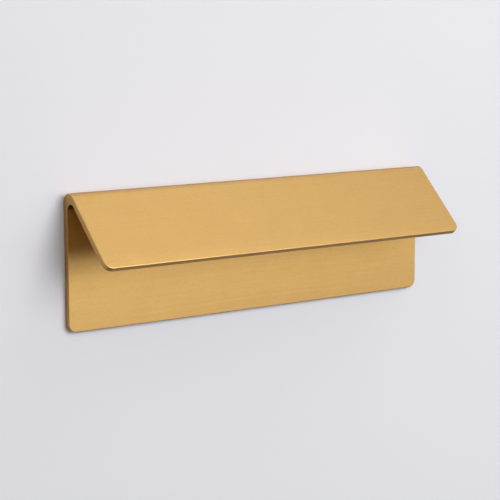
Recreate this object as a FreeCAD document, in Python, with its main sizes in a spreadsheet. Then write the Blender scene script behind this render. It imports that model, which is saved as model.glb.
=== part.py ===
import FreeCAD, Part
import math
import os

import Sketcher

# Tab pull: one length of brass profile, a flat back plate that turns over at its top
# into a flap sloping down and outward, so that fingers reach up behind the flap.
# X runs along the pull, +Y into the surface that carries it, +Z up.
# The origin is midway between the two screw holes, on the rear face.
driving_sizes = {
    "pull_length": "160",         # end to end
    "plate_height": "48.9",       # foot of the back plate to the crest of the bend
    "flap_reach": "28.15",        # rear face to the flap's foremost edge, before it is eased
    "plate_wall": "2.4",
    "flap_wall": "2.2",           # a little thinner than the back plate
    "flap_angle": "45",           # degrees between back plate and flap
    "bend_outer_radius": "3.7",
    "bend_inner_radius": "2.5",   # not concentric with the outer one: the bend is the thickest place
    "corner_radius": "3",         # lower corners of back plate and flap
    "edge_radius": "0.25",        # eased edges all round
    "screw_inset": "16",          # screw holes in from each end, which leaves 128 between them
    "screw_height": "28",         # screw holes above the foot of the back plate
    "tap_drill": "3.3",           # core of an M4 thread
    "countersink_depth": "0.45",  # eased mouth of each screw hole at the rear face
    "countersink_angle": "90",    # degrees
}

doc = FreeCAD.newDocument("tab_pull")
sizes = doc.addObject("Spreadsheet::Sheet", "Sizes")
for row, (alias, value) in enumerate(driving_sizes.items(), start=1):
    sizes.set(f"A{row}", alias)
    sizes.set(f"B{row}", value)
    sizes.setAlias(f"B{row}", alias)
doc.recompute()


def attach(body, name, role):
    """A new sketch on the body's own origin plane of that role."""
    sketch = body.newObject("Sketcher::SketchObject", name)
    plane = next(item for item in body.Origin.OriginFeatures if item.Role == role)
    sketch.AttachmentSupport = (plane, [""])
    sketch.MapMode = "FlatFace"
    return sketch


def dimension(sketch, name, constraint, expression):
    """A named dimension of a sketch, bound to the sheet."""
    index = sketch.addConstraint(constraint)
    sketch.renameConstraint(index, name)
    sketch.setExpression(f"Constraints.{name}", expression)


def section(body):
    """The profile across the pull: across is Y, upward is Z, and the front is at minus Y."""
    plate_wall = sizes.plate_wall
    flap_wall = sizes.flap_wall
    outer_radius = sizes.bend_outer_radius
    inner_radius = sizes.bend_inner_radius
    slope = math.radians(sizes.flap_angle)
    foot = -sizes.screw_height
    crest = foot + sizes.plate_height
    down_flap = FreeCAD.Vector(-math.sin(slope), -math.cos(slope), 0)
    off_flap = FreeCAD.Vector(-math.cos(slope), math.sin(slope), 0)

    outer_centre = FreeCAD.Vector(-outer_radius, crest - outer_radius, 0)
    outer_turn = outer_centre + off_flap * outer_radius
    run = (sizes.flap_reach + outer_turn.x) / math.sin(slope)
    outer_tip = outer_turn + down_flap * run
    inner_tip = outer_tip - off_flap * flap_wall
    off_plate = plate_wall + inner_radius
    off_outside = flap_wall + inner_radius
    level = (outer_tip.dot(off_flap) - off_outside - off_plate * math.cos(slope)) / math.sin(slope)
    inner_centre = FreeCAD.Vector(-off_plate, level, 0)
    inner_turn = inner_centre + off_flap * inner_radius

    rear_foot = FreeCAD.Vector(0, foot, 0)
    front_foot = FreeCAD.Vector(-plate_wall, foot, 0)
    rear_top = FreeCAD.Vector(0, outer_centre.y, 0)
    front_top = FreeCAD.Vector(-plate_wall, inner_centre.y, 0)
    upright = FreeCAD.Vector(0, 0, 1)
    turned = math.pi - slope

    sketch = attach(body, "section", "YZ_Plane")
    rear = sketch.addGeometry(Part.LineSegment(rear_foot, rear_top))
    outer_bend = sketch.addGeometry(
        Part.ArcOfCircle(Part.Circle(outer_centre, upright, outer_radius), 0, turned))
    flap_outside = sketch.addGeometry(Part.LineSegment(outer_turn, outer_tip))
    flap_edge = sketch.addGeometry(Part.LineSegment(outer_tip, inner_tip))
    flap_inside = sketch.addGeometry(Part.LineSegment(inner_tip, inner_turn))
    inner_bend = sketch.addGeometry(
        Part.ArcOfCircle(Part.Circle(inner_centre, upright, inner_radius), 0, turned))
    front = sketch.addGeometry(Part.LineSegment(front_top, front_foot))
    plate_edge = sketch.addGeometry(Part.LineSegment(front_foot, rear_foot))

    start, end, centre = 1, 2, 3
    origin_point, vertical_axis = -1, -2
    for joint in (
        ("Tangent", rear, end, outer_bend, start),
        ("Tangent", outer_bend, end, flap_outside, start),
        ("Coincident", flap_outside, end, flap_edge, start),
        ("Coincident", flap_edge, end, flap_inside, start),
        ("Tangent", flap_inside, end, inner_bend, end),
        ("Tangent", inner_bend, start, front, start),
        ("Coincident", front, end, plate_edge, start),
        ("Coincident", plate_edge, end, rear, start),
        ("PointOnObject", rear, start, vertical_axis),
        ("Vertical", rear),
        ("Vertical", front),
        ("Horizontal", plate_edge),
        ("Perpendicular", flap_outside, flap_edge),
        ("Parallel", flap_outside, flap_inside),
    ):
        sketch.addConstraint(Sketcher.Constraint(*joint))

    dimension(sketch, "foot_below_screws",
              Sketcher.Constraint("DistanceY", rear, start, origin_point, start, -foot),
              "Sizes.screw_height")
    dimension(sketch, "bend_above_foot",
              Sketcher.Constraint("DistanceY", rear, start, outer_bend, centre, rear_top.y - foot),
              "Sizes.plate_height - Sizes.bend_outer_radius")
    dimension(sketch, "outer_radius",
              Sketcher.Constraint("Radius", outer_bend, outer_radius),
              "Sizes.bend_outer_radius")
    dimension(sketch, "inner_radius",
              Sketcher.Constraint("Radius", inner_bend, inner_radius),
              "Sizes.bend_inner_radius")
    dimension(sketch, "plate_wall",
              Sketcher.Constraint("Distance", plate_edge, plate_wall),
              "Sizes.plate_wall")
    dimension(sketch, "flap_wall",
              Sketcher.Constraint("Distance", flap_edge, flap_wall),
              "Sizes.flap_wall")
    dimension(sketch, "reach",
              Sketcher.Constraint("DistanceX", flap_outside, end, origin_point, start, -outer_tip.x),
              "Sizes.flap_reach")
    dimension(sketch, "flap_slope",
              Sketcher.Constraint("Angle", flap_inside, math.pi / 2 - slope),
              "(90 - Sizes.flap_angle) * 1 deg")
    return sketch


def edge_names(shape, wanted):
    """Names of the shape's edges that pass a test."""
    return [f"Edge{count}" for count, edge in enumerate(shape.Edges, start=1) if wanted(edge)]


def is_lower_corner(edge):
    """One of the four short edges through the wall, at the two ends of each lower rim."""
    middle = edge.valueAt((edge.FirstParameter + edge.LastParameter) / 2)
    at_end = abs(abs(middle.x) - sizes.pull_length / 2) < Part.Precision.confusion()
    off_wall = min(abs(edge.Length - wall) for wall in (sizes.plate_wall, sizes.flap_wall))
    return at_end and off_wall < Part.Precision.confusion()


def is_sharp(shape, edge):
    """An edge where two faces meet at an angle, not one where a bend runs into a flat."""
    smooth_limit = math.radians(1)
    middle = edge.valueAt((edge.FirstParameter + edge.LastParameter) / 2)
    faces = shape.ancestorsOfType(edge, Part.Face)
    normals = [face.normalAt(*face.Surface.parameter(middle)) for face in faces]
    return normals[0].getAngle(normals[1]) > smooth_limit


def screw_hole_centres(body):
    """Two circles on the rear face, for the screw holes."""
    half_spacing = sizes.pull_length / 2 - sizes.screw_inset
    start, centre, horizontal_axis, origin_point = 1, 3, -1, -1
    sketch = attach(body, "screw_hole_centres", "XZ_Plane")
    for name, side in (("left", -1), ("right", 1)):
        place = FreeCAD.Vector(side * half_spacing, 0, 0)
        ring = sketch.addGeometry(
            Part.Circle(place, FreeCAD.Vector(0, 0, 1), sizes.tap_drill / 2))
        sketch.addConstraint(Sketcher.Constraint("PointOnObject", ring, centre, horizontal_axis))
        dimension(sketch, f"{name}_bore",
                  Sketcher.Constraint("Diameter", ring, sizes.tap_drill),
                  "Sizes.tap_drill")
        dimension(sketch, f"{name}_offset",
                  Sketcher.Constraint("DistanceX", origin_point, start, ring, centre, place.x),
                  f"{side} * (Sizes.pull_length / 2 - Sizes.screw_inset)")
    return sketch


pull = doc.addObject("PartDesign::Body", "tab_pull")
pull.Label = "tab_pull"

profile = pull.newObject("PartDesign::Pad", "profile")
profile.Profile = section(pull)
profile.SideType = "Symmetric"
profile.setExpression("Length", "Sizes.pull_length")
doc.recompute()

corners = pull.newObject("PartDesign::Fillet", "corners")
corners.Base = (profile, edge_names(profile.Shape, is_lower_corner))
corners.setExpression("Radius", "Sizes.corner_radius")
doc.recompute()

eased = pull.newObject("PartDesign::Fillet", "eased_edges")
eased.Base = (corners, edge_names(corners.Shape, lambda edge: is_sharp(corners.Shape, edge)))
eased.setExpression("Radius", "Sizes.edge_radius")
doc.recompute()

# The holes are tapped for machine screws that come through from behind.
screw_holes = pull.newObject("PartDesign::Hole", "screw_holes")
screw_holes.Profile = screw_hole_centres(pull)
doc.recompute()
screw_holes.DepthType = "Dimension"
screw_holes.DrillPoint = "Flat"
screw_holes.HoleCutType = "Countersink"
screw_holes.HoleCutCustomValues = True
screw_holes.Reversed = True
screw_holes.setExpression("Diameter", "Sizes.tap_drill")
screw_holes.setExpression("Depth", "2 * Sizes.plate_wall")
half_angle = "Sizes.countersink_angle / 2 * 1 deg"
screw_holes.setExpression("HoleCutDiameter",
                          f"Sizes.tap_drill + 2 * Sizes.countersink_depth * tan({half_angle})")
screw_holes.setExpression("HoleCutCountersinkAngle", "Sizes.countersink_angle * 1 deg")
pull.Tip = screw_holes
doc.recompute()

failed = [item.Name for item in doc.Objects if "Invalid" in item.State or "Error" in item.State]
if failed:
    raise RuntimeError(f"not built: {failed}")
if pull.Shape.isNull() or not pull.Shape.isValid() or len(pull.Shape.Solids) != 1:
    raise RuntimeError("the pull isn't one valid solid")
if screw_holes.Shape.Volume >= eased.Shape.Volume:
    raise RuntimeError("the screw holes cut nothing")

os.makedirs("parts", exist_ok=True)
pull.Shape.exportStep(f"parts/{pull.Label}.step")
box = pull.Shape.optimalBoundingBox(False)
print(f"{pull.Label}: {box.XLength:.2f} x {box.YLength:.2f} x {box.ZLength:.2f} mm, "
      f"{pull.Shape.Volume / 1000:.2f} cubic cm, {len(pull.Shape.Faces)} faces")
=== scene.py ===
import math

import bmesh
import bpy
from mathutils import Matrix, Vector


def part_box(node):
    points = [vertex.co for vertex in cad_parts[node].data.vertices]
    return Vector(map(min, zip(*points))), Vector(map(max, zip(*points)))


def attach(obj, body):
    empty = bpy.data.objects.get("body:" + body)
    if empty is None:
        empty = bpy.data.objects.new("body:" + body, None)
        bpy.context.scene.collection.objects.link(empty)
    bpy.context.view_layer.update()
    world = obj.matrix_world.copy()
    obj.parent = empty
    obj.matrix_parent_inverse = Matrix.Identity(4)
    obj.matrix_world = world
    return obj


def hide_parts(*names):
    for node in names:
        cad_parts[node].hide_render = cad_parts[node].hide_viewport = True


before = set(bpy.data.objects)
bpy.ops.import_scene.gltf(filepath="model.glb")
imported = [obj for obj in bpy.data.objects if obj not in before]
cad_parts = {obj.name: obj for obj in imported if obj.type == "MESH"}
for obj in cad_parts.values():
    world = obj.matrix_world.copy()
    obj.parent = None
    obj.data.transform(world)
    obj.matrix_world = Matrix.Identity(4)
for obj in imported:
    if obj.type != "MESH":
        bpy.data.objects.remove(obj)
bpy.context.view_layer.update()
mm = 0.001


# node trees are wired by hand: a socket in wires is linked, anything else is set on the input
def putNode(tree, kind, wires=None, **settings):
    node = tree.nodes.new(kind)
    for name, value in settings.items():
        setattr(node, name, value)
    for socket, value in (wires or {}).items():
        if isinstance(value, bpy.types.NodeSocket):
            tree.links.new(value, node.inputs[socket])
        else:
            node.inputs[socket].default_value = value
    return node


def putMath(tree, operation, first, second=0.0, third=0.0):
    terms = {0: first, 1: second, 2: third}
    return putNode(tree, "ShaderNodeMath", terms, operation=operation).outputs[0]


def newShapeTree(name, inputs):
    tree = bpy.data.node_groups.new(name, "GeometryNodeTree")
    for label, kind in inputs.items():
        tree.interface.new_socket(label, in_out="INPUT", socket_type=kind)
    tree.interface.new_socket("Geometry", in_out="OUTPUT", socket_type="NodeSocketGeometry")
    return tree, tree.nodes.new("NodeGroupInput").outputs


def endTree(tree, geometry, finish):
    real = putNode(tree, "GeometryNodeRealizeInstances", {"Geometry": geometry})
    dressed = putNode(tree, "GeometryNodeSetMaterial", {
        "Geometry": real.outputs[0], "Material": finish})
    tree.links.new(dressed.outputs[0], tree.nodes.new("NodeGroupOutput").inputs[0])


def growTree(obj, tree, values):
    modifier = obj.modifiers.new(tree.name, "NODES")
    modifier.node_group = tree
    for item in tree.interface.items_tree:
        if item.item_type == "SOCKET" and item.in_out == "INPUT" and item.name in values:
            modifier[item.identifier] = values[item.name]


def toScene(name, data):
    obj = bpy.data.objects.new(name, data)
    bpy.context.scene.collection.objects.link(obj)
    return obj


def plainMesh(obj, name):
    depsgraph = bpy.context.evaluated_depsgraph_get()
    mesh = bpy.data.meshes.new_from_object(
        obj.evaluated_get(depsgraph), preserve_all_data_layers=True, depsgraph=depsgraph)
    mesh.name = name
    return mesh


# satin brass, brushed along the pull
brass = {
    "colour": (0.724, 0.453, 0.158),
    "tones": (0.90, 1.10),             # darkest and palest streak
    "roughness": (0.45, 0.39),         # of the same two
    "fineBrush": (750, 3500, 2.0),     # repeats per metre along and across the brush, detail
    "longLines": (22, 1500, 2.0),
    "cloud": (90, 90, 3.0),
    "grain": (2600, 2600, 1.0),
    "mix": {"fineBrush": 0.8, "longLines": 0.45, "cloud": 0.35, "grain": 0.6},
    "marks": {"grain": 0.4, "longLines": 2.5},   # how deep these cut, next to the fine brush
    "markStrength": 0.3,
    "scratch": 0.02 * mm,              # depth of the fine brush marks
    "sawnTintPaintedShade": (0.71, 0.63, 0.59),     # sawn ends and rims darker and redder: partly a less polished finish, partly painted shade
    "wornTintPaintedHighlight": (1.06, 1.08, 1.12),  # eased edges paler and whiter: partly rubbed wear, partly a painted highlight
    "drawnTintPaintedShade": (0.70, 0.62, 0.54),    # darker and redder from the crest of the bend down the rear: partly left as drawn, partly painted shade on the bend's top edge
    "rubbed": -0.08,                   # roughness added
    "rear": 0.08,
}


def satinBrass():
    material = bpy.data.materials.new("satinBrass")
    material.use_nodes = True
    tree = material.node_tree
    shader = tree.nodes["Principled BSDF"]
    shader.inputs["Metallic"].default_value = 1
    place = putNode(tree, "ShaderNodeTexCoord").outputs["Object"]

    def tinted(colour, tint, amount):
        node = putNode(tree, "ShaderNodeMix", {0: amount, 6: colour, 7: (*tint, 1)},
                       data_type="RGBA", blend_type="MULTIPLY")
        return node.outputs[2]

    pattern = {}
    for name in brass["mix"]:
        along, across, detail = brass[name]
        stretched = putNode(tree, "ShaderNodeMapping", {
            "Vector": place, "Scale": (along, across, across)})
        pattern[name] = putNode(tree, "ShaderNodeTexNoise", {
            "Vector": stretched.outputs[0], "Scale": 1.0, "Detail": detail}).outputs[0]
    middle = 0.5   # mean of each pattern, and of the mix
    tone = middle - middle * sum(brass["mix"].values())
    for name, share in brass["mix"].items():
        tone = putMath(tree, "MULTIPLY_ADD", pattern[name], share, tone)
    ramp = putNode(tree, "ShaderNodeValToRGB", {0: tone})
    for stop, strength in zip(ramp.color_ramp.elements, brass["tones"]):
        stop.color = (*(strength * part for part in brass["colour"]), 1)

    kind = putNode(tree, "ShaderNodeAttribute", attribute_name="faceKind")
    split = putNode(tree, "ShaderNodeSeparateXYZ", {0: kind.outputs["Vector"]})
    cut, rubbed, rear = split.outputs
    # sawn rims darker: partly finish, partly painted shade
    colour = tinted(ramp.outputs[0], brass["sawnTintPaintedShade"], cut)
    # eased edges paler: partly wear, partly a painted highlight
    colour = tinted(colour, brass["wornTintPaintedHighlight"], rubbed)
    # bend rear darker: partly as drawn, partly painted shade
    colour = tinted(colour, brass["drawnTintPaintedShade"], rear)
    tree.links.new(colour, shader.inputs["Base Color"])

    darkest, palest = brass["roughness"]
    dull = putNode(tree, "ShaderNodeMapRange", {
        "Value": tone, "To Min": darkest, "To Max": palest}).outputs[0]
    dull = putMath(tree, "MULTIPLY_ADD", rubbed, brass["rubbed"], dull)
    dull = putMath(tree, "MULTIPLY_ADD", rear, brass["rear"], dull)
    tree.links.new(dull, shader.inputs["Roughness"])

    marks = pattern["fineBrush"]
    for name, depth in brass["marks"].items():
        marks = putMath(tree, "MULTIPLY_ADD", pattern[name], depth, marks)
    bump = putNode(tree, "ShaderNodeBump", {
        "Height": marks, "Strength": brass["markStrength"], "Distance": brass["scratch"]})
    tree.links.new(bump.outputs[0], shader.inputs["Normal"])
    return material


# the pull: back plate, bend along the top, sloping flap; length, height and reach are the frame's
pull = {
    "plateWall": 2.4 * mm,
    "flapWall": 2.2 * mm,
    "flapAngle": 45,           # degrees between back plate and flap
    "outerBend": 3.7 * mm,
    "innerBend": 2.5 * mm,     # own centre, so the bend is the thickest place
    "bendSteps": 32,
    "corner": 3.0 * mm,        # lower corners of plate and flap
    "cornerSteps": 12,
    "ease": 0.25 * mm,         # all other edges
    "easeSteps": 6,
    "easeFrom": 40,            # degrees, what counts as an edge
    "smoothTo": 35,            # degrees, what still shades as one surface
    "weld": 0.001 * mm,        # points closer than this are one
    "wallSlack": 0.01 * mm,    # edges as long as a wall, give or take this, are the corner ones
}


def flapAxes():
    slope = math.radians(pull["flapAngle"])
    downFlap = Vector((0, -math.sin(slope), -math.cos(slope)))
    offFlap = Vector((0, -math.cos(slope), math.sin(slope)))
    return downFlap, offFlap


# corners of the section as (Y, Z, bend radius), from the rear foot over the bend and back
def sectionCorners(low, high):
    slope = math.radians(pull["flapAngle"])
    sine, cosine = math.sin(slope), math.cos(slope)
    plateWall, flapWall = pull["plateWall"], pull["flapWall"]
    outer, inner = pull["outerBend"], pull["innerBend"]
    reach = -low.y + pull["ease"] * (sine + cosine - 1)   # to the sharp tip, before it is eased
    flapOff = outer * cosine + (high.z - outer) * sine + outer   # flap's outside, off the origin
    outerTip = (-reach, (flapOff - reach * cosine) / sine)
    innerTip = (outerTip[0] + flapWall * cosine, outerTip[1] - flapWall * sine)
    return [
        (0, low.z, 0),
        (0, flapOff / sine, outer),
        (*outerTip, 0),
        (*innerTip, 0),
        (-plateWall, (flapOff - flapWall - plateWall * cosine) / sine, inner),
        (-plateWall, low.z, 0),
    ]


def sectionCurve(corners):
    curve = bpy.data.curves.new("pullSection", "CURVE")
    curve.dimensions = "3D"
    spline = curve.splines.new("POLY")
    spline.points.add(len(corners) - 1)
    for point, (across, up, bend) in zip(spline.points, corners):
        point.co = (across, up, 0, 1)
        point.radius = bend
    spline.use_cyclic_u = True
    return curve


# section curve -> bends rounded -> filled -> drawn out to the length -> four corner edges marked
def profileTree():
    tree, given = newShapeTree("drawnProfile", {
        "Geometry": "NodeSocketGeometry",
        "Length": "NodeSocketFloat",
        "Plate wall": "NodeSocketFloat",
        "Flap wall": "NodeSocketFloat",
        "Bend steps": "NodeSocketInt",
        "Finish": "NodeSocketMaterial",
    })
    bend = putNode(tree, "GeometryNodeInputRadius")
    rounded = putNode(tree, "GeometryNodeFilletCurve", {
        "Curve": given["Geometry"], "Count": given["Bend steps"],
        "Radius": bend.outputs[0]}, mode="POLY")
    leftEnd = putNode(tree, "GeometryNodeFillCurve", {"Curve": rounded.outputs[0]}, mode="NGONS")
    drawn = putNode(tree, "GeometryNodeExtrudeMesh", {
        "Mesh": leftEnd.outputs[0], "Offset Scale": given["Length"],
        "Individual": False}, mode="FACES")
    turned = putNode(tree, "GeometryNodeFlipFaces", {"Mesh": leftEnd.outputs[0]})
    both = putNode(tree, "GeometryNodeJoinGeometry")
    tree.links.new(drawn.outputs["Mesh"], both.inputs[0])
    tree.links.new(turned.outputs[0], both.inputs[0])
    closed = putNode(tree, "GeometryNodeMergeByDistance", {
        "Geometry": both.outputs[0], "Distance": pull["weld"]})
    shift = putNode(tree, "ShaderNodeCombineXYZ", {
        "X": putMath(tree, "MULTIPLY", given["Length"], -0.5)})
    quarter = math.radians(90)
    laid = putNode(tree, "GeometryNodeTransform", {   # section plane X, Y goes to Y, Z
        "Geometry": closed.outputs[0], "Translation": shift.outputs[0],
        "Rotation": (quarter, 0, quarter)})
    ends = putNode(tree, "GeometryNodeInputMeshEdgeVertices")
    span = putNode(tree, "ShaderNodeVectorMath", {
        0: ends.outputs["Position 1"], 1: ends.outputs["Position 2"]}, operation="DISTANCE")
    across = [putNode(tree, "FunctionNodeCompare", {
        0: span.outputs["Value"], 1: given[wall], "Epsilon": pull["wallSlack"]},
        data_type="FLOAT", operation="EQUAL") for wall in ("Plate wall", "Flap wall")]
    either = putNode(tree, "FunctionNodeBooleanMath", {
        0: across[0].outputs[0], 1: across[1].outputs[0]}, operation="OR")
    marked = putNode(tree, "GeometryNodeStoreNamedAttribute", {
        "Geometry": laid.outputs[0], "Selection": either.outputs[0],
        "Name": "bevel_weight_edge", "Value": 1.0}, data_type="FLOAT", domain="EDGE")
    endTree(tree, marked.outputs[0], given["Finish"])
    return tree


# two tapped screw holes in the back plate, cut from behind
screwHoles = {
    "spacing": 128 * mm,
    "core": 3.3 * mm,
    "major": 4.0 * mm,
    "pitch": 0.7 * mm,
    "flank": (0.1, 0.43),      # where it starts and ends, in pitches from the middle of a crest
    "mouth": 4.2 * mm,         # countersunk mouth at the rear face
    "around": 48,
    "perPitch": 10,
    "over": 0.3 * mm,          # how far the cutter stands out of the plate
}


# a cylinder whose skin follows the thread: local Z is the hole's axis and 0 the rear face
def threadTree():
    tree, given = newShapeTree("tappedHoles", {
        "Core": "NodeSocketFloat",
        "Major": "NodeSocketFloat",
        "Pitch": "NodeSocketFloat",
        "Mouth": "NodeSocketFloat",
        "Wall": "NodeSocketFloat",
        "Over": "NodeSocketFloat",
        "Spacing": "NodeSocketFloat",
        "Around": "NodeSocketInt",
        "Steps": "NodeSocketInt",
        "Finish": "NodeSocketMaterial",
    })

    def calc(*terms):
        return putMath(tree, *terms)

    depth = calc("MULTIPLY_ADD", given["Over"], 2.0, given["Wall"])
    tool = putNode(tree, "GeometryNodeMeshCylinder", {
        "Vertices": given["Around"], "Side Segments": given["Steps"],
        "Radius": 1.0, "Depth": depth})
    position = putNode(tree, "GeometryNodeInputPosition")
    spot = putNode(tree, "ShaderNodeSeparateXYZ", {0: position.outputs[0]}).outputs
    turn = calc("DIVIDE", calc("ARCTAN2", spot["Y"], spot["X"]), math.tau)
    level = calc("MULTIPLY_ADD", given["Wall"], -0.5, spot["Z"])
    wave = calc("PINGPONG", calc("SUBTRACT", calc("DIVIDE", level, given["Pitch"]), turn), 0.5)
    flankStart, flankEnd = screwHoles["flank"]
    thread = putNode(tree, "ShaderNodeMapRange", {
        "Value": wave, "From Min": flankStart, "From Max": flankEnd,
        "To Min": calc("MULTIPLY", given["Core"], 0.5),
        "To Max": calc("MULTIPLY", given["Major"], 0.5)})
    mouth = calc("MULTIPLY_ADD", given["Mouth"], 0.5, level)
    radius = calc("MAXIMUM", thread.outputs[0], mouth)
    skin = putNode(tree, "ShaderNodeCombineXYZ", {
        "X": calc("MULTIPLY", spot["X"], radius), "Y": calc("MULTIPLY", spot["Y"], radius),
        "Z": level})
    shaped = putNode(tree, "GeometryNodeSetPosition", {
        "Geometry": tool.outputs["Mesh"], "Position": skin.outputs[0]})
    stepAside = putNode(tree, "ShaderNodeCombineXYZ", {"X": given["Spacing"]})
    firstSpot = putNode(tree, "ShaderNodeCombineXYZ", {
        "X": calc("MULTIPLY", given["Spacing"], -0.5)})
    spots = putNode(tree, "GeometryNodeMeshLine", {
        "Count": 2, "Start Location": firstSpot.outputs[0], "Offset": stepAside.outputs[0]})
    tools = putNode(tree, "GeometryNodeInstanceOnPoints", {
        "Points": spots.outputs[0], "Instance": shaped.outputs[0],
        "Rotation": (math.radians(-90), 0, 0)})   # local Z to +Y
    endTree(tree, tools.outputs[0], given["Finish"])
    return tree


# polishing has rolled the flap's outside over towards its lower edge
polished = {
    "run": 7.0 * mm,           # how far up the flap it starts
    "drop": 0.23 * mm,         # how much is gone at the edge
    "power": 3,                # how late it turns down
    "loops": (0.4, 0.75, 1.15, 1.6, 2.15, 2.8, 3.6, 4.5, 5.6),   # mm up from the edge
}


def rollTip(mesh, tip):
    wall, run = pull["flapWall"], polished["run"]
    downFlap, offFlap = flapAxes()
    work = bmesh.new()
    work.from_mesh(mesh)
    for up in polished["loops"]:
        skin = [face for face in work.faces
                if all((tip - vert.co).dot(offFlap) < wall / 2 for vert in face.verts)]
        around = {part for face in skin for part in (*face.edges, *face.verts)}
        bmesh.ops.bisect_plane(
            work, geom=[*skin, *around], dist=pull["weld"],
            plane_co=tip - downFlap * up * mm, plane_no=downFlap)
    for vert in work.verts:
        up, deep = (tip - vert.co).dot(downFlap), (tip - vert.co).dot(offFlap)
        if up < run and deep < wall:
            left = 1 - max(up, 0) / run
            gone = polished["drop"] * left ** polished["power"] * (1 - max(deep, 0) / wall)
            vert.co -= offFlap * gone
    work.to_mesh(mesh)
    work.free()


# what tells the faces apart, mostly as parts of their normals
faceKinds = {
    "cut": (0.8, 0.15),        # towards a rim: where the sawn tint with its painted shade starts, and how soon it is full
    "square": 0.99,            # as square to a rim as this is never an eased edge
    "strip": 1.5,              # how wide a strip of an eased edge may be, 1 is even
    "rear": (-0.45, 0.25),     # backward: where the as-drawn tint with its painted shade starts, and how soon it is full
    "lowest": -0.1,            # looking down more than this isn't the rear
    "aside": 0.5,              # nor is looking aside more than this
}


def ramped(value, start, over):
    return min(max((value - start) / over, 0), 1)


# how far each face is a sawn rim, an eased edge or the rear, for the finish and its painted shade
# and highlight
def markFaces(mesh):
    downFlap = flapAxes()[0]
    ends = [Vector((1, 0, 0)), Vector((-1, 0, 0))]
    feet = [Vector((0, 0, -1)), downFlap]
    rims = ends + feet + [(end + foot).normalized() for end in ends for foot in feet]
    strip = faceKinds["strip"] * pull["ease"] * math.radians(90) / pull["easeSteps"]
    kinds = mesh.attributes.new("faceKind", "FLOAT_VECTOR", "FACE")
    for face in mesh.polygons:
        normal = face.normal
        towards = max(normal.dot(rim) for rim in rims)
        corners = [mesh.vertices[index].co for index in face.vertices]
        sides = zip(corners, corners[1:] + corners[:1])
        longest = max((first - second).length for first, second in sides)
        cut = ramped(towards, *faceKinds["cut"])
        rubbed = 1 if face.area < strip * longest and towards < faceKinds["square"] else 0
        rear = 0
        if normal.z > faceKinds["lowest"] and abs(normal.x) < faceKinds["aside"]:
            rear = ramped(normal.y, *faceKinds["rear"])
        kinds.data[face.index].vector = (cut * (1 - rubbed), rubbed, rear * (1 - rubbed))


def bevel(obj, name, limit, width, steps):
    modifier = obj.modifiers.new(name, "BEVEL")
    modifier.limit_method = limit
    modifier.width = width
    modifier.segments = steps
    modifier.use_clamp_overlap = False
    return modifier


def makePull(finish):
    low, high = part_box("tab_pull")
    corners = sectionCorners(low, high)
    section = toScene("pullSection", sectionCurve(corners))
    growTree(section, profileTree(), {
        "Length": high.x - low.x, "Plate wall": pull["plateWall"], "Flap wall": pull["flapWall"],
        "Bend steps": pull["bendSteps"], "Finish": finish})
    body = toScene("pullBlank", plainMesh(section, "pullBlank"))
    print("profile drawn:", len(body.data.polygons), "faces")

    cutter = toScene("threadCutter", bpy.data.meshes.new("threadCutter"))
    depth = pull["plateWall"] + 2 * screwHoles["over"]
    steps = math.ceil(depth / screwHoles["pitch"] * screwHoles["perPitch"])
    growTree(cutter, threadTree(), {
        "Core": screwHoles["core"], "Major": screwHoles["major"], "Pitch": screwHoles["pitch"],
        "Mouth": screwHoles["mouth"], "Wall": pull["plateWall"], "Over": screwHoles["over"],
        "Spacing": screwHoles["spacing"], "Around": screwHoles["around"], "Steps": steps,
        "Finish": finish})
    tools = toScene("threadTools", plainMesh(cutter, "threadTools"))

    bevel(body, "corners", "WEIGHT", pull["corner"], pull["cornerSteps"])
    eased = bevel(body, "eased", "ANGLE", pull["ease"], pull["easeSteps"])
    eased.angle_limit = math.radians(pull["easeFrom"])
    holes = body.modifiers.new("screwHoles", "BOOLEAN")
    holes.object = tools
    holes.operation = "DIFFERENCE"
    holes.solver = "EXACT"
    shaped = plainMesh(body, "satinPull")
    rollTip(shaped, Vector((0, *corners[2][:2])))   # the third corner is the flap's outer tip
    shaped.shade_smooth()
    shaped.set_sharp_from_angle(angle=math.radians(pull["smoothTo"]))
    piece = toScene("satinPull", shaped)
    flats = piece.modifiers.new("flats", "WEIGHTED_NORMAL")
    flats.keep_sharp = True
    finished = plainMesh(piece, "satinPull.finished")
    piece.modifiers.clear()
    piece.data = finished
    markFaces(finished)
    for helper in (section, body, cutter, tools):
        bpy.data.objects.remove(helper)
    return piece


piece = makePull(satinBrass())
test = bmesh.new()
test.from_mesh(piece.data)
openEdges = sum(1 for edge in test.edges if len(edge.link_faces) != 2)
print("pull:", len(piece.data.polygons), "faces,", openEdges, "open edges,",
      round(test.calc_volume() / mm ** 3 / 1000, 3), "cubic cm")
test.free()
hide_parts("tab_pull")
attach(piece, "root")


# pale wall that carries the pull, in metres
paleWall = {
    "gap": 0.02 * mm,          # behind the rear face
    "colour": (0.892, 0.890, 0.936),
    "roughness": 0.9,
    "specular": 0.1,
    "halfWidth": 0.7,
    "top": 0.7,
    "foot": -0.8,
    "hidden": 0.3 * mm,        # how far the opening behind the rear face keeps inside its flat
    "crest": 2.1 * mm,         # and how far below the top of the bend
    "cornerSteps": 6,
}


# one-sided paint: seen from behind the wall isn't there
def wallPaint():
    material = bpy.data.materials.new("palePaint")
    material.use_nodes = True
    tree = material.node_tree
    shader = tree.nodes["Principled BSDF"]
    shader.inputs["Base Color"].default_value = (*paleWall["colour"], 1)
    shader.inputs["Roughness"].default_value = paleWall["roughness"]
    shader.inputs["Specular IOR Level"].default_value = paleWall["specular"]
    side = putNode(tree, "ShaderNodeNewGeometry")
    clear = putNode(tree, "ShaderNodeBsdfTransparent")
    mix = putNode(tree, "ShaderNodeMixShader", {
        0: side.outputs["Backfacing"], 1: shader.outputs[0], 2: clear.outputs[0]})
    tree.links.new(mix.outputs[0], tree.nodes["Material Output"].inputs["Surface"])
    return material


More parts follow.
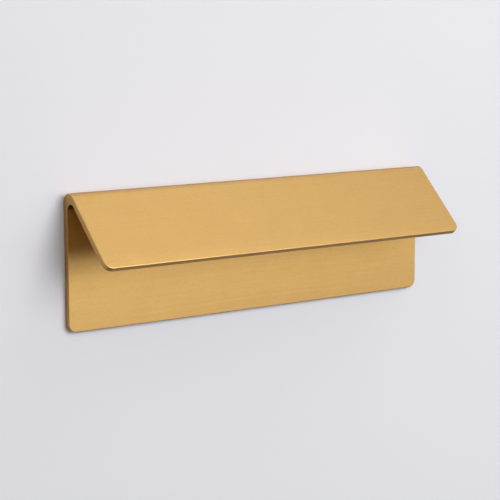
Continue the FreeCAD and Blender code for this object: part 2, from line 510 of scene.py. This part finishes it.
# the opening lets light reach the rear face in views from behind
def makeWall():
    low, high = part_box("tab_pull")
    inset = pull["ease"] + paleWall["hidden"]
    side, foot = high.x - inset, low.z + inset
    crest = high.z - paleWall["crest"]
    corner = pull["corner"] - inset
    opening = []
    for step in range(paleWall["cornerSteps"] + 1):
        angle = math.radians(180 + 90 * step / paleWall["cornerSteps"])
        opening.append((-side + corner + corner * math.cos(angle),
                        foot + corner + corner * math.sin(angle)))
    opening += [(-x, z) for x, z in reversed(opening)] + [(side, crest), (-side, crest)]
    width, bottom, top = paleWall["halfWidth"], paleWall["foot"], paleWall["top"]
    outline = [(-width, bottom), (width, bottom), (width, top), (-width, top)]
    mesh = bmesh.new()
    for loop in (outline, opening):
        points = [mesh.verts.new((x, paleWall["gap"], z)) for x, z in loop]
        for first, second in zip(points, points[1:] + points[:1]):
            mesh.edges.new((first, second))
    bmesh.ops.triangle_fill(mesh, edges=mesh.edges[:], use_beauty=True)
    for face in mesh.faces:
        face.normal_update()
        if face.normal.y > 0:
            face.normal_flip()
    data = bpy.data.meshes.new("paleWall")
    mesh.to_mesh(data)
    mesh.free()
    data.materials.append(wallPaint())
    toScene("paleWall", data)
    print("wall:", len(data.polygons), "faces")


makeWall()


# soft boxes: degrees right of the front, degrees up, metres away, width, height, watts
softBoxes = {
    "key": (10, 21, 1.4, 1.0, 0.8, 9.6),
    "keyLow": (22, 12, 1.4, 1.0, 0.8, 3.0),
    "wide": (34, 18, 1.4, 2.2, 1.4, 2.6),
    "overhead": (52, 56, 1.4, 0.9, 0.9, 2.8),
    "lowFront": (35, -4, 1.4, 1.2, 0.3, 1.1),
    "left": (-57, 40, 1.4, 1.0, 0.8, 1.3),
    "lowLeft": (-15, -30, 1.4, 0.9, 0.5, 0.35),
    "behind": (150, 5, 1.2, 1.6, 1.0, 5.5),
}
softRoom = {
    "colour": (1.0, 0.99, 1.0),
    "strength": 0.2,           # level with the pull and above
    "below": 0.1,              # share of it that is left towards the ground
    "from": -0.55,             # how far down that is reached, -1 is straight down
}


def makeLight():
    for name, (right, up, away, width, height, power) in softBoxes.items():
        lamp = bpy.data.lights.new(name, "AREA")
        lamp.shape = "RECTANGLE"
        lamp.size, lamp.size_y = width, height
        lamp.energy = power
        box = toScene(name, lamp)
        across, rise = math.radians(right), math.radians(up)
        toLamp = Vector((
            math.sin(across) * math.cos(rise), -math.cos(across) * math.cos(rise), math.sin(rise)))
        box.location = toLamp * away
        box.rotation_euler = toLamp.to_track_quat("Z", "Y").to_euler()
    room = bpy.data.worlds.new("softRoom")
    room.use_nodes = True
    tree = room.node_tree
    around = putNode(tree, "ShaderNodeTexCoord")
    direction = putNode(tree, "ShaderNodeSeparateXYZ", {0: around.outputs["Generated"]})
    level = putNode(tree, "ShaderNodeMapRange", {
        "Value": direction.outputs["Z"], "From Min": softRoom["from"], "From Max": 0.0,
        "To Min": softRoom["below"] * softRoom["strength"], "To Max": softRoom["strength"]},
        interpolation_type="SMOOTHSTEP")
    glow = tree.nodes["Background"]
    glow.inputs["Color"].default_value = (*softRoom["colour"], 1)
    tree.links.new(level.outputs[0], glow.inputs["Strength"])
    bpy.context.scene.world = room
    print("lights:", ", ".join(softBoxes))


makeLight()


# camera from the left and a little above
camera = {
    "place": (-356.8 * mm, -486.9 * mm, 82.9 * mm),
    "turned": 36.191,          # degrees to the right
    "down": 8.397,             # degrees
    "tilt": 0.17,              # degrees, clockwise
    "lens": 117.34,            # mm, on a sensor this wide
    "sensor": 36,
    "near": 10 * mm,           # nothing closer is drawn
}


def makeCamera():
    lens = bpy.data.cameras.new("camera")
    lens.lens = camera["lens"]
    lens.sensor_width = camera["sensor"]
    lens.clip_start = camera["near"]
    eye = toScene("camera", lens)
    eye.matrix_world = (
        Matrix.Translation(camera["place"])
        @ Matrix.Rotation(math.radians(-camera["turned"]), 4, "Z")
        @ Matrix.Rotation(math.radians(90 - camera["down"]), 4, "X")
        @ Matrix.Rotation(math.radians(-camera["tilt"]), 4, "Z"))
    bpy.context.scene.camera = eye
    print("camera set")


makeCamera()
bpy.context.scene.view_settings.view_transform = "Standard"
